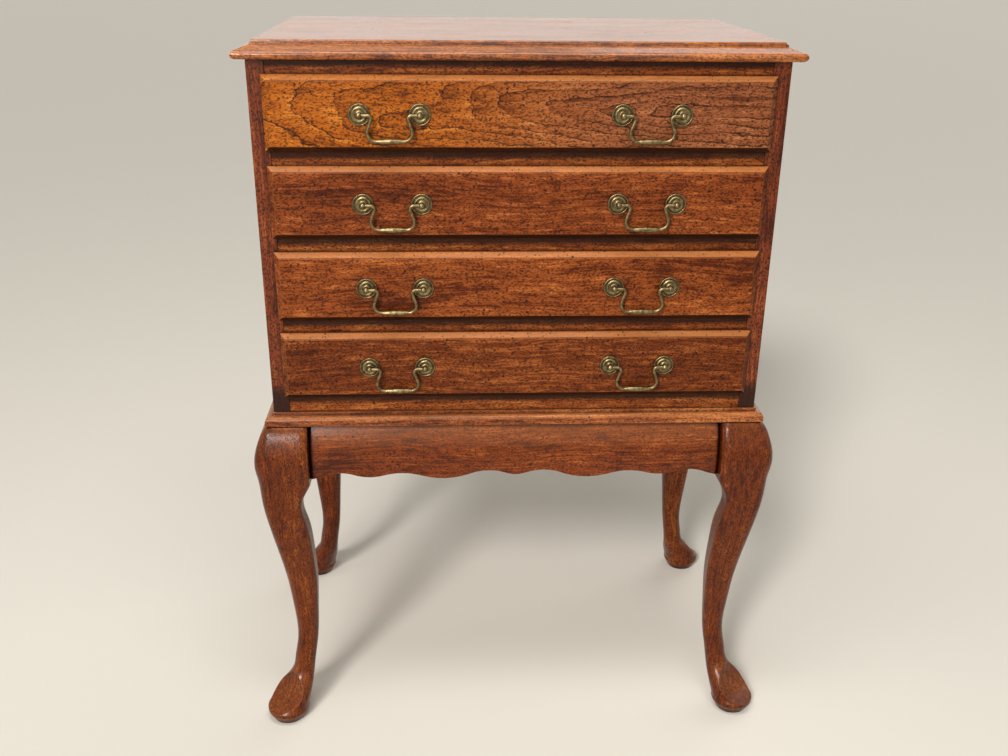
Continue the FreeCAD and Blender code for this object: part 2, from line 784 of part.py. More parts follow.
def cut_toe(body):
    """Dishes the top of the toe: an arc down the front of the ankle and a sloping flat to the rim."""
    height, centre, width = foot_station(*TOE_STATION)
    start = centre * SQUARE_ROOT_2 + width / 2 + D.toe_gap
    toe = D.foot_offset * SQUARE_ROOT_2 + D.foot_diameter / 2
    run = toe - start
    drop = height - D.foot_rim_height
    sweep = math.radians(90) - TOE_SLOPE
    reach = 1 - math.cos(sweep)
    radius = (drop - run * math.tan(TOE_SLOPE)) / (math.sin(sweep) - reach * math.tan(TOE_SLOPE))
    via = (
        start + radius * (1 - math.cos(sweep / 2)),
        height - radius * math.sin(sweep / 2),
    )
    bend_end = (start + radius * reach, height - radius * math.sin(sweep))
    beyond = toe + D.foot_diameter / 4
    beyond_level = D.foot_rim_height - (beyond - toe) * math.tan(TOE_SLOPE)
    sketch, _ = cut_prism(body, "XZ_Plane", -D.foot_diameter, D.foot_diameter)
    diagonal = FreeCAD.Rotation(FreeCAD.Vector(0, 1, 0), 45)
    sketch.AttachmentOffset = FreeCAD.Placement(FreeCAD.Vector(), diagonal)
    draw_outline(
        sketch,
        (start, height),
        (via, bend_end),
        (beyond, beyond_level),
        (beyond, height),
    )


def back_right_leg():
    body = new_body("leg_back_right")
    sections = knee_sections(body) + return_sections(body) + calf_sections(body) + foot_sections(body)
    loft(body, sections, ruled=False)
    wall = foot_section(body, D.foot_wall_height, D.foot_offset, D.foot_diameter)
    lower_wall = foot_section(body, D.sole_height, D.foot_offset, D.foot_diameter)
    sole = foot_section(body, 0, D.foot_offset, D.sole_diameter)
    loft(body, [wall, lower_wall, sole], ruled=True)
    planed = -D.post_inset
    spare = planed * 2
    reach = D.knee_projection + D.post_planing
    sketch, _ = cut_prism(body, "XY_Plane", D.leg_height - D.post_length, D.leg_height)
    draw_outline(
        sketch,
        (spare, spare), (reach, spare), (reach, planed), (planed, planed), (planed, reach), (spare, reach),
    )
    cut_toe(body)
    place(body, half_width, half_depth, 0)
    return body


# Aprons, corner blocks and bolts

apron_fullest = D.leg_height - D.apron_bulge_drop
blank_bottom = apron_bottom - D.apron_spare


def apron_profile(outer, outward):
    """Cushion section of an apron; outer is the carcass plane and outward is +1 or -1."""
    back = outer - D.apron_inset * outward
    return (
        (back, D.leg_height),
        (outer - D.apron_top_inset * outward, D.leg_height),
        (
            (outer + D.apron_bulge * outward, apron_fullest),
            (outer + D.apron_bottom_projection * outward, blank_bottom),
        ),
        (back, blank_bottom),
    )


def scallop_outline(sketch, half_length, lobes, crossings):
    """The wood to cut away below an apron's wavy lower edge."""

    def spot(share):
        along, rise = share
        return half_length * along, apron_bottom + D.scallop_depth * rise

    def other_side(point):
        return -point[0], point[1]

    end = (half_length, apron_bottom)
    below = apron_bottom - D.scallop_depth
    rising = [(spot(lobe), spot(crossing)) for lobe, crossing in zip(lobes[1:], crossings[1:])]
    falling = []
    for lobe, crossing in zip(reversed(lobes[1:]), reversed(crossings[:-1])):
        falling.append((other_side(spot(lobe)), other_side(spot(crossing))))
    draw_outline(
        sketch,
        (-half_length, below),
        other_side(end),
        other_side(spot(crossings[-1])),
        *falling,
        (spot(lobes[0]), spot(crossings[0])),
        *rising,
        end,
        (half_length, below),
    )


def front_apron():
    body = new_body("front_apron")
    sketch, pad = add_prism(body, "YZ_Plane", -post_face, post_face)
    draw_outline(sketch, *apron_profile(front_plane, -1))

    def at_end(edge):
        bounds = edge.BoundBox
        at_right = lies_at(bounds.XMin, bounds.XMax, post_face)
        at_left = lies_at(bounds.XMin, bounds.XMax, -post_face)
        on_face = bounds.YMin < front_plane.value
        return (at_right or at_left) and on_face and bounds.ZLength > bounds.YLength

    round_edges(body, pad, D.apron_end_round, at_end)
    reach = D.apron_bulge + D.apron_inset
    sketch, _ = cut_prism(body, "XZ_Plane", front_plane - reach, front_plane + reach)
    scallop_outline(sketch, post_face, FRONT_LOBES, FRONT_CROSSINGS)
    return body


def side_aprons():
    body = new_body("right_apron")
    sketch, pad = add_prism(body, "XZ_Plane", -post_face_depth, post_face_depth)
    draw_outline(sketch, *apron_profile(half_width, 1))

    def at_end(edge):
        bounds = edge.BoundBox
        at_front = lies_at(bounds.YMin, bounds.YMax, -post_face_depth)
        at_back = lies_at(bounds.YMin, bounds.YMax, post_face_depth)
        on_face = bounds.XMax > half_width.value
        return (at_front or at_back) and on_face and bounds.ZLength > bounds.XLength

    round_edges(body, pad, D.apron_end_round, at_end)
    reach = D.apron_bulge + D.apron_inset
    sketch, _ = cut_prism(body, "YZ_Plane", half_width - reach, half_width + reach)
    scallop_outline(sketch, post_face_depth, SIDE_LOBES, SIDE_CROSSINGS)
    return group("side_aprons", [body, mirror_copy("left_apron", body, ACROSS)])


def back_apron():
    front = back_plane - D.apron_inset
    return box("back_apron", -post_face, post_face, front, back_plane, apron_bottom, D.leg_height)


def corner_blocks():
    body = new_body("corner_blocks")
    apron = D.apron_inset
    post = D.post_inset
    far = D.apron_inset + D.block_length
    sketch, _ = add_prism(body, "XY_Plane", D.leg_height - D.block_height, D.leg_height)
    for side in (1, -1):
        for end in (1, -1):
            corners = []
            for inward, along in ((post, apron), (far, apron), (apron, far), (apron, post), (post, post)):
                corners.append(((half_width - inward) * side, (half_depth - along) * end))
            draw_outline(sketch, *corners)
    return body


def corner_bolt(label, side, end):
    """A bolt through a corner block into the leg, level, pointing out along the diagonal."""
    body = new_body(label)
    block_face = (D.apron_inset * 2 + D.block_length) * SINE_45
    tip = D.post_inset * SQUARE_ROOT_2 - D.bolt_bite
    nut_end = block_face + D.bolt_nut_height
    sketch, _ = add_prism(body, "YZ_Plane", -nut_end - D.bolt_end, -tip)
    draw_circle(sketch, (0, 0), D.bolt_radius)
    sketch, _ = add_prism(body, "YZ_Plane", -nut_end, -block_face)
    draw_hexagon(sketch, D.bolt_nut_width)
    turn = math.degrees(math.atan2(end, side))
    body.Placement = FreeCAD.Placement(
        FreeCAD.Vector(), FreeCAD.Rotation(FreeCAD.Vector(0, 0, 1), turn)
    )
    place(body, half_width * side, half_depth * end, D.leg_height - D.block_height / 2)
    return body


def corner_bolts():
    pieces = []
    for side_name, side in (("right", 1), ("left", -1)):
        for end_name, end in (("back", 1), ("front", -1)):
            pieces.append(corner_bolt(f"bolt_{end_name}_{side_name}", side, end))
    return group("corner_bolts", pieces)


# Drawers: x from the middle, y from the carcass front and z from the opening's floor

lip_back = -D.lip_gap
lip_front = lip_back - D.lip_thickness
drawer_face = lip_front - D.lip_field_rise
tongue_back = lip_back + D.tongue_thickness
drawer_outer = opening_half - D.drawer_side_gap
drawer_inner = drawer_outer - D.drawer_side_thickness
side_bottom = D.running_gap
side_top = D.opening_height - D.drawer_top_gap
side_end = D.carcass_depth - D.back_thickness - D.drawer_back_gap
groove_bottom = side_bottom + D.groove_rise
groove_top = groove_bottom + D.drawer_bottom_thickness
groove_edge = drawer_inner + D.groove_depth
drawer_back_rear = side_end - D.drawer_back_margin
drawer_back_front = drawer_back_rear - D.drawer_back_thickness
pull_height = D.opening_height / 2
pivot_depth = drawer_face - D.pivot_distance


def place_in_opening(target, number):
    place(target, 0, front_plane, opening_floor(number))


def tail_corners(index):
    """The four corners of one dovetail, from the top of its root round its tip."""
    pitch = (side_top - side_bottom) / TAILS_PER_SIDE
    centre = side_top - pitch * (index + 0.5)
    root = pitch * TAIL_ROOT_SHARE
    tip = pitch * TAIL_TIP_SHARE
    end = tongue_back - D.tail_length
    return (
        (tongue_back, centre + root),
        (end, centre + tip),
        (end, centre - tip),
        (tongue_back, centre - root),
    )


def drawer_front(number):
    body = new_body(f"drawer_{number}_front")
    edge = opening_half + D.lip_side
    low = -D.lip_rail
    high = D.opening_height + D.lip_rail
    sketch, lip = add_prism(body, "XZ_Plane", lip_front, lip_back)
    draw_rectangle(sketch, -edge, edge, low, high)

    def at_front(edge_shape):
        return lies_at(edge_shape.BoundBox.YMin, edge_shape.BoundBox.YMax, lip_front)

    bevel_edges(body, lip, D.lip_bevel, at_front)
    inset = D.lip_field_inset
    sketch, _ = add_prism(body, "XZ_Plane", drawer_face, lip_front)
    draw_rectangle(sketch, inset - edge, edge - inset, low + inset, high - inset)
    sketch, _ = add_prism(body, "XZ_Plane", lip_back, tongue_back)
    tongue_top = D.opening_height - D.tongue_top_gap
    draw_rectangle(sketch, -drawer_outer, drawer_outer, side_bottom, tongue_top)
    for near, far in ((drawer_inner, drawer_outer), (-drawer_outer, -drawer_inner)):
        sketch, _ = cut_prism(body, "YZ_Plane", near, far)
        for index in range(TAILS_PER_SIDE):
            draw_outline(sketch, *tail_corners(index))
    sketch, _ = cut_prism(body, "YZ_Plane", -groove_edge, groove_edge)
    draw_rectangle(sketch, tongue_back - D.groove_depth, tongue_back, groove_bottom, groove_top)
    sketch, _ = cut_prism(body, "XZ_Plane", drawer_face, tongue_back)
    for pull in (-1, 1):
        for post in (-1, 1):
            across = D.pull_offset * pull + D.post_spacing / 2 * post
            draw_circle(sketch, (across, pull_height), D.stud_radius + D.stud_clearance)
    place_in_opening(body, number)
    return body


def drawer_sides(number):
    body = new_body(f"drawer_{number}_sides")
    corners = [(side_end, side_bottom), (side_end, side_top), (tongue_back, side_top)]
    for index in range(TAILS_PER_SIDE):
        corners.extend(tail_corners(index))
    corners.append((tongue_back, side_bottom))
    sketch, board = add_prism(body, "YZ_Plane", drawer_inner, drawer_outer)
    draw_outline(sketch, *corners)
    sketch, groove = cut_prism(body, "XZ_Plane", tongue_back - D.groove_depth, side_end)
    draw_rectangle(sketch, drawer_inner, groove_edge, groove_bottom, groove_top)
    sketch, dado = cut_prism(body, "XY_Plane", groove_top, side_top)
    dado_edge = drawer_inner + D.dado_depth
    draw_rectangle(sketch, drawer_inner, dado_edge, drawer_back_front, drawer_back_rear)
    mirror_features(body, [board, groove, dado], "YZ_Plane")
    place_in_opening(body, number)
    return body


def drawer_box(label, number, half, front, back, bottom, top):
    """A plain board of a drawer, given in the drawer's own places."""
    floor = opening_floor(number)
    return box(label, -half, half, front_plane + front, front_plane + back, floor + bottom, floor + top)


def drawer_back(number):
    half = drawer_inner + D.dado_depth
    label = f"drawer_{number}_back"
    return drawer_box(label, number, half, drawer_back_front, drawer_back_rear, groove_top, side_top)


def drawer_bottom(number):
    front = tongue_back - D.groove_depth
    label = f"drawer_{number}_bottom"
    return drawer_box(label, number, groove_edge, front, side_end, groove_bottom, groove_top)


def drawer_lining(number):
    half = drawer_inner - D.lining_gap
    front = tongue_back + D.lining_gap
    back = drawer_back_front - D.lining_gap
    top = groove_top + D.lining_thickness
    return drawer_box(f"drawer_{number}_lining", number, half, front, back, groove_top, top)


def flatware_racks(number):
    """Two slotted bars across the drawer, on its felt."""
    body = new_body("flatware_racks")
    half = drawer_inner - D.rack_end_gap
    bottom = groove_top + D.lining_thickness
    top = bottom + D.rack_height
    rear = D.rack_front + D.rack_spacing + D.rack_thickness
    sketch, _ = add_prism(body, "XY_Plane", bottom, top)
    for front in (D.rack_front, D.rack_front + D.rack_spacing):
        draw_rectangle(sketch, -half, half, front, front + D.rack_thickness)
    sketch, _ = cut_prism(body, "XZ_Plane", D.rack_front, rear)
    for index in range(SLOTS_PER_RACK):
        centre = blend(-half, half, (index + 0.5) / SLOTS_PER_RACK)
        reach = D.slot_width / 2
        draw_rectangle(sketch, centre - reach, centre + reach, top - D.slot_depth, top)
    place_in_opening(body, number)
    return body


# Pulls: drawn about the middle of the drawer front

def place_at_pulls(target, number):
    place(target, 0, front_plane, opening_floor(number) + pull_height)


def post_sketch(body, across):
    """A sketch in the level plane whose upright axis runs through a post."""
    sketch = new_sketch(body, "XY_Plane", 0)
    bind(sketch, "AttachmentOffset.Base.x", across)
    return sketch


def rosette_outline(sketch):
    """Half section of a plate: beaded rim, groove, rounded shoulder and dished middle."""
    bore = D.stud_radius + D.thread_clearance
    rim = D.rosette_radius
    rim_inner = rim - D.rosette_rim
    disc = rim_inner - D.rosette_groove
    shoulder = D.rosette_dome_height - D.rosette_base
    dish = D.collar_radius + D.rosette_groove
    base = drawer_face - D.rosette_base
    crest_level = drawer_face - D.rosette_dome_height
    dish_level = drawer_face - D.rosette_dish_height
    shoulder_via = (disc - shoulder * (1 - SINE_45), base - shoulder * SINE_45)
    draw_outline(
        sketch,
        (bore, drawer_face),
        (rim, drawer_face),
        (rim, base),
        ((rim - D.rosette_rim / 2, drawer_face - D.rosette_rim_height), (rim_inner, base)),
        (disc, base),
        (shoulder_via, (disc - shoulder, crest_level)),
        (dish, dish_level),
        (bore, dish_level),
    )


def drawer_rosettes(number):
    body = new_body(f"drawer_{number}_rosettes")
    turned = []
    for post in (-1, 1):
        sketch = post_sketch(body, D.pull_offset + D.post_spacing / 2 * post)
        rosette_outline(sketch)
        turned.append(revolve(body, sketch, "V_Axis"))
    mirror_features(body, turned, "YZ_Plane")
    place_at_pulls(body, number)
    return body


def post_outline(sketch):
    """Half section of a post: threaded shank, collar on the plate, neck and ball."""
    end = tongue_back + D.stud_nut_height + D.stud_end
    seat = drawer_face - D.rosette_dish_height
    collar = seat - D.collar_height
    ball = D.ball_radius
    neck_end = pivot_depth + third_side(ball, D.neck_radius)
    bend_in, bend_up = COLLAR_BEND
    collar_bend = (blend(D.collar_radius, D.neck_radius, bend_in), blend(seat, collar, bend_up))
    draw_outline(
        sketch,
        (0, end),
        (D.stud_radius, end),
        (D.stud_radius, seat),
        (D.collar_radius, seat),
        (collar_bend, (D.neck_radius, collar)),
        (D.neck_radius, neck_end),
        ((ball, pivot_depth), (0, pivot_depth - ball)),
    )


def drawer_posts(number):
    body = new_body(f"drawer_{number}_posts")
    pieces = []
    for post in (-1, 1):
        centre = D.pull_offset + D.post_spacing / 2 * post
        sketch = post_sketch(body, centre)
        post_outline(sketch)
        pieces.append(revolve(body, sketch, "V_Axis"))
        hole_start = centre - (D.pin_start - D.pin_end_gap) * post
        hole_end = centre - D.ball_radius * post
        sketch = new_sketch(body, "YZ_Plane", (hole_start + hole_end) / 2)
        draw_circle(sketch, (pivot_depth, 0), D.wire_radius + D.pin_clearance)
        hole = body.newObject("PartDesign::Pocket", "PinHole")
        hole.Profile = sketch
        hole.SideType = "Symmetric"
        bind(hole, "Length", D.ball_radius - D.pin_start + D.pin_end_gap)
        pieces.append(hole)
        sketch, nut = add_prism(body, "XZ_Plane", tongue_back, tongue_back + D.stud_nut_height)
        bind(sketch, "AttachmentOffset.Base.x", centre)
        draw_hexagon(sketch, D.stud_nut_width)
        draw_circle(sketch, (0, 0), D.stud_radius + D.thread_clearance)
        pieces.append(nut)
    mirror_features(body, pieces, "YZ_Plane")
    place_at_pulls(body, number)
    return body


def bail_path(sketch):
    """Swan-neck path from one pin to the other: two bends each side and a level grip."""
    lean_across = math.sin(NECK_LEAN)
    lean_down = math.cos(NECK_LEAN)
    half = D.post_spacing / 2
    start = D.pin_start - half
    shoulder = D.bail_shoulder - half
    bend = D.bail_shoulder_radius
    bend_via = (shoulder + bend, -bend)
    bend_end = (shoulder + bend * lean_down, -bend - bend * lean_across)
    neck = D.bail_neck_length
    neck_end = (bend_end[0] - neck * lean_across, bend_end[1] - neck * lean_down)
    lower = (neck_end[1] + D.bail_drop) / (1 + lean_across)
    lower_centre = neck_end[0] + lower * lean_down
    grip_start = (lower_centre, -D.bail_drop)
    lower_turn = math.radians(225) - NECK_LEAN / 2
    lower_via = (
        lower_centre + lower * math.cos(lower_turn),
        lower - D.bail_drop + lower * math.sin(lower_turn),
    )

    def other_side(point):
        return -point[0], point[1]

    draw_chain(
        sketch,
        (start, 0),
        (
            (shoulder, 0),
            (bend_via, bend_end),
            neck_end,
            (lower_via, grip_start),
            other_side(grip_start),
            (other_side(lower_via), other_side(neck_end)),
            other_side(bend_end),
            (other_side(bend_via), (-shoulder, 0)),
            (-start, 0),
        ),
        closed=False,
    )


def drawer_bail(number, name, side):
    body = new_body(f"drawer_{number}_{name}_bail")
    path = new_sketch(body, "XZ_Plane", 0)
    bail_path(path)
    profile = new_sketch(body, "YZ_Plane", D.pin_start - D.post_spacing / 2)
    draw_circle(profile, (0, 0), D.wire_radius)
    wire = body.newObject("PartDesign::AdditivePipe", "Wire")
    wire.Profile = profile
    wire.Spine = path
    grip = new_sketch(body, "XZ_Plane", 0)
    bind(grip, "AttachmentOffset.Base.y", -D.bail_drop)
    half_grip = D.grip_length / 2
    half_collar = D.grip_collar_width / 2
    swell_at = (half_grip + half_collar) / 2
    swell = blend(D.wire_radius, D.grip_radius, SWELL_SHARE)
    draw_outline(
        grip,
        (-half_grip, 0),
        (-half_grip, D.wire_radius),
        ((-swell_at, swell), (-half_collar, D.grip_radius)),
        ((0, D.grip_collar_radius), (half_collar, D.grip_radius)),
        ((swell_at, swell), (half_grip, D.wire_radius)),
        (half_grip, 0),
    )
    revolve(body, grip, "H_Axis")
    place(body, D.pull_offset * side, front_plane + pivot_depth, opening_floor(number) + pull_height)
    return body


# The whole chest

def build_carcass():
    right_side = right_side_panel()
    return [
        top_panel(),
        right_side,
        mirror_copy("left_side_panel", right_side, ACROSS),
        back_panel(),
        bottom_panel(),
        rail("top_rail", carcass_top - D.top_rail_height, D.top_rail_height),
        drawer_dividers(),
        rail("bottom_rail", carcass_bottom, D.bottom_rail_height),
        drawer_runners(),
        top_cleats(),
        top_screws(),
    ]


def build_stand():
    back_right = back_right_leg()
    front_right = mirror_copy("leg_front_right", back_right, LENGTHWAYS)
    return [
        stand_frame_front(),
        stand_frame_sides(),
        stand_frame_back(),
        back_right,
        mirror_copy("leg_back_left", back_right, ACROSS),
        front_right,
        mirror_copy("leg_front_left", front_right, ACROSS),
        front_apron(),
        side_aprons(),
        back_apron(),
        corner_blocks(),
        corner_bolts(),
    ]


def build_drawer(number):
    return [
        drawer_front(number),
        drawer_sides(number),
        drawer_back(number),
        drawer_bottom(number),
        drawer_lining(number),
        drawer_rosettes(number),
        drawer_posts(number),
        drawer_bail(number, "left", -1),
        drawer_bail(number, "right", 1),
    ]


def check_document(subparts):
    for item in DOC.Objects:
        if "Invalid" in item.State or "Error" in item.State:
            raise RuntimeError(f"{item.Label}: {item.State}")
    for subpart in subparts:
        if subpart.Shape.isNull() or not subpart.Shape.isValid():
            raise RuntimeError(f"{subpart.Label}: bad shape")


def main():
    subparts = build_carcass() + build_stand()
    for number in range(1, DRAWER_COUNT + 1):
        subparts.extend(build_drawer(number))
    subparts.append(flatware_racks(1))
    DOC.recompute()
    check_document(subparts)
    os.makedirs("parts", exist_ok=True)
    for subpart in subparts:
        subpart.Shape.exportStep(f"parts/{subpart.Label}.step")
        print(subpart.Label, len(subpart.Shape.Solids), round(subpart.Shape.Volume / 1000, 2), "cm3")


main()
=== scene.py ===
import math

import bpy
import bmesh
from mathutils import Matrix, Vector, noise


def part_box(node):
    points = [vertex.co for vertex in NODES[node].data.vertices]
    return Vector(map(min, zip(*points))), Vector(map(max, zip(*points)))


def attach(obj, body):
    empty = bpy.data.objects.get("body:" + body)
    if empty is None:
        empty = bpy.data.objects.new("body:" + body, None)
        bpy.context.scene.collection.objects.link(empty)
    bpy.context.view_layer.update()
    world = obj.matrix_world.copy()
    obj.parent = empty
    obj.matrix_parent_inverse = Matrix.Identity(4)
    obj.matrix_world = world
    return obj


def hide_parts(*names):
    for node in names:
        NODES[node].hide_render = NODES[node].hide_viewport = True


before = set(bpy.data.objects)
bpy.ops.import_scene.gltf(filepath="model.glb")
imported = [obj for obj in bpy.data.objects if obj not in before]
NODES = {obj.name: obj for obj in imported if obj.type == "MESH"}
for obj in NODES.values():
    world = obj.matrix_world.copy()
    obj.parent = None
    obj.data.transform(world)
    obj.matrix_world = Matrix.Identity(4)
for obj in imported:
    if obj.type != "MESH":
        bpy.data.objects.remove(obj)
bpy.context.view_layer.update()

# A flatware chest of four drawers on a stand with cabriole legs.
# Metres. The origin is on the floor under the middle of the chest; the drawers open towards -Y.

DRAWERS = (1, 2, 3, 4)
FIRST_FLOOR = 0.7450  # height of the rail under the first drawer
DRAWER_PITCH = 0.0952  # from one drawer's rail to the next
FRONT_PLANE = -0.1620  # front edges of the side panels
STILE_FOOT = (0.458, 0.476)  # heights between which the dark foot of those edges fades


def srgb(red, green, blue):
    """A colour written as it looks on screen, 0 to 255, as the linear colour a shader takes."""

    def linear(level):
        share = level / 255
        if share <= 0.04045:
            return share / 12.92
        return ((share + 0.055) / 1.055) ** 2.4

    return linear(red), linear(green), linear(blue), 1.0


# Shader helpers

class Shader:
    """A material and short ways to add and wire its nodes."""

    def __init__(self, name):
        self.material = bpy.data.materials.new(name)
        self.material.use_nodes = True
        self.tree = self.material.node_tree
        self.surface = self.tree.nodes["Principled BSDF"]

    def feed(self, socket, value):
        if isinstance(value, bpy.types.NodeSocket):
            self.tree.links.new(value, socket)
        else:
            socket.default_value = value

    def node(self, kind, inputs, **settings):
        node = self.tree.nodes.new(f"ShaderNode{kind}")
        for name, value in settings.items():
            setattr(node, name, value)
        for key, value in inputs.items():
            self.feed(node.inputs[key], value)
        return node

    def finish(self, **inputs):
        """Sets the surface's inputs, named with underscores for spaces."""
        for name, value in inputs.items():
            self.feed(self.surface.inputs[name.replace("_", " ")], value)
        return self.material

    def math(self, operation, *values):
        return self.node("Math", dict(enumerate(values)), operation=operation).outputs[0]

    def vector(self, operation, *values):
        node = self.node("VectorMath", dict(enumerate(values)), operation=operation)
        return node.outputs["Value" if operation in ("LENGTH", "DOT_PRODUCT") else "Vector"]

    def scaled(self, vector, factor):
        inputs = {"Vector": vector, "Scale": factor}
        return self.node("VectorMath", inputs, operation="SCALE").outputs["Vector"]

    def split(self, vector):
        return self.node("SeparateXYZ", {"Vector": vector}).outputs

    def join(self, x, y, z):
        return self.node("CombineXYZ", {"X": x, "Y": y, "Z": z}).outputs[0]

    def ease(self, value, low, high, start=0.0, end=1.0):
        """Goes smoothly from start to end as the value goes from low to high."""
        inputs = {"Value": value, "From Min": low, "From Max": high, "To Min": start, "To Max": end}
        return self.node("MapRange", inputs, interpolation_type="SMOOTHSTEP").outputs[0]

    def mix(self, factor, first, second):
        """The first colour at factor 0, the second at factor 1."""
        factor_socket, first_socket, second_socket, colour_result = 0, 6, 7, 2
        inputs = {factor_socket: factor, first_socket: first, second_socket: second}
        return self.node("Mix", inputs, data_type="RGBA").outputs[colour_result]

    def noise_node(self, vector, detail=2.0, roughness=0.5):
        inputs = {"Vector": vector, "Scale": 1.0, "Detail": detail, "Roughness": roughness}
        return self.node("TexNoise", inputs)

    def noise(self, vector, detail=2.0, roughness=0.5):
        """One number from 0 to 1, about 0.5 on average."""
        return self.noise_node(vector, detail, roughness).outputs[0]

    def cells(self, vector):
        return self.node("TexVoronoi", {"Vector": vector, "Scale": 1.0}, feature="F1").outputs

    def place(self):
        """The point's place on the piece, in metres."""
        return self.node("TexCoord", {}).outputs["Object"]

    def facing(self):
        """The direction the surface faces."""
        return self.node("NewGeometry", {}).outputs["Normal"]

    def openness(self, reach):
        """1 on open surfaces, falling towards 0 in corners and recesses."""
        return self.node("AmbientOcclusion", {"Distance": reach}, samples=8).outputs["AO"]

    def softened_normal(self, radius):
        """The surface's normal with its crisp edges rounded over."""
        return self.node("Bevel", {"Radius": radius}, samples=6).outputs[0]

    def bump(self, height, distance, normal):
        inputs = {"Strength": 1.0, "Distance": distance, "Height": height, "Normal": normal}
        return self.node("Bump", inputs).outputs[0]


# Grain

GRAIN_ORDER = {"x": (0, 2, 1), "y": (1, 0, 2), "z": (2, 0, 1)}
BAND_WEIGHT = 0.75
STREAK_WEIGHT = 0.9
MOTTLE_WEIGHT = 0.5
TONE_SHIFT = 1 - (BAND_WEIGHT + STREAK_WEIGHT + MOTTLE_WEIGHT) / 2


def grain_space(shader, along, offset):
    """The place with its first coordinate along the grain; offset gives a board its own figure."""
    parts = shader.split(shader.vector("ADD", shader.place(), offset))
    return shader.join(*(parts[index] for index in GRAIN_ORDER[along]))


def stretched(shader, grain, along, across):
    """The grain's place counted in cells per metre along and across the grain."""
    return shader.vector("MULTIPLY", grain, (along, across, across))


def swirled(shader, grain, reach):
    """The grain's place pushed sideways in slow waves, so that no streak runs quite straight."""
    waves = shader.noise_node(stretched(shader, grain, 5.0, 9.0), detail=1.0).outputs["Color"]
    push = shader.vector("SUBTRACT", waves, (0.5, 0.5, 0.5))
    return shader.vector("ADD", grain, shader.vector("MULTIPLY", push, (0.0, reach, reach)))


def wood_tone(shader, grain):
    """How pale the wood is, about 1 on average, and the fine streaks in it."""
    bands = shader.noise(stretched(shader, grain, 3.0, 24.0), detail=3.0)
    streaks = shader.noise(stretched(shader, grain, 12.0, 330.0), detail=3.0, roughness=0.6)
    mottle = shader.noise(stretched(shader, grain, 60.0, 150.0), detail=2.0)
    tone = shader.math("MULTIPLY_ADD", bands, BAND_WEIGHT, TONE_SHIFT)
    tone = shader.math("MULTIPLY_ADD", streaks, STREAK_WEIGHT, tone)
    tone = shader.math("MULTIPLY_ADD", mottle, MOTTLE_WEIGHT, tone)
    return tone, streaks


def arched_rings(shader, grain, heart, slant, spacing, wander):
    """Growth rings in nested arches: the distance to a ring's edge, and the way through a ring."""
    lean = 0.16
    ripple_share = 0.2
    waviness = 0.22
    along, across, _ = shader.split(grain)
    heart_along, heart_across = heart
    run = shader.math("MULTIPLY", shader.math("SUBTRACT", along, heart_along), slant)
    rise = shader.math("SUBTRACT", across, heart_across)
    rise = shader.math("MULTIPLY_ADD", run, lean, rise)
    radius = shader.vector("LENGTH", shader.join(run, rise, 0.0))
    drift = shader.noise(stretched(shader, grain, 9.0, 22.0), detail=1.0)
    ripple = shader.noise(stretched(shader, grain, 70.0, 120.0), detail=2.0)
    field = shader.math("MULTIPLY_ADD", drift, wander, radius)
    field = shader.math("MULTIPLY_ADD", ripple, wander * ripple_share, field)
    share = shader.math("FRACT", shader.math("DIVIDE", field, spacing))
    steep = shader.vector("LENGTH", shader.join(shader.math("MULTIPLY", run, slant), rise, 0.0))
    slope = shader.math("ADD", shader.math("DIVIDE", steep, radius), waviness)
    from_middle = shader.math("ABSOLUTE", shader.math("SUBTRACT", share, 0.5))
    to_edge = shader.math("MULTIPLY", shader.math("SUBTRACT", 0.5, from_middle), spacing)
    return shader.math("DIVIDE", to_edge, slope), share


def three_tones(shader, tone, colours):
    """Dark, middle and pale wood as the tone goes from about 0.7 to 1.3."""
    dark, middle, pale = colours
    colour = shader.mix(shader.ease(tone, 0.74, 1.0), dark, middle)
    return shader.mix(shader.ease(tone, 1.0, 1.26), colour, pale)


# Antiquing, painted shade and shadow under the drawer lips, and a darker foot on the side panels'
# front edges

def dots(shader, place, spacing, radius, share):
    """Round specks on some of the points of a loose lattice, where they come near the surface."""
    smallest = 0.6 * radius / spacing
    spread = 0.8 * radius / spacing
    soft_rim = 0.6
    cells = shader.cells(shader.scaled(place, 1 / spacing))
    chance, girth, _ = shader.split(cells["Color"])
    size = shader.math("MULTIPLY_ADD", girth, spread, smallest)
    way_out = shader.math("DIVIDE", cells["Distance"], size)
    inside = shader.ease(way_out, soft_rim, 1.0, 1.0, 0.0)
    return shader.math("MULTIPLY", inside, shader.math("LESS_THAN", chance, share))


def dents(shader, place, spacing, share):
    """Short curved scars, each turned its own way."""
    bend = 0.016
    half_length = 0.011
    thickness = 0.0006
    cells = shader.cells(shader.scaled(place, 1 / spacing))
    centre = shader.scaled(cells["Position"], spacing)
    away = shader.vector("SUBTRACT", place, centre)
    turn = {"Vector": away, "Rotation": shader.scaled(cells["Color"], math.tau)}
    turned = shader.node("VectorRotate", turn, rotation_type="EULER_XYZ")
    x, y, _ = shader.split(turned.outputs[0])
    ring = shader.vector("LENGTH", shader.join(shader.math("SUBTRACT", x, bend), y, 0.0))
    off_ring = shader.math("ABSOLUTE", shader.math("SUBTRACT", ring, bend))
    on_ring = shader.ease(off_ring, thickness * 0.4, thickness, 1.0, 0.0)
    near = shader.ease(shader.vector("LENGTH", away), half_length * 0.8, half_length, 1.0, 0.0)
    chance = shader.split(cells["Color"])[2]
    chosen = shader.math("LESS_THAN", chance, share)
    return shader.math("MULTIPLY", shader.math("MULTIPLY", on_ring, near), chosen)


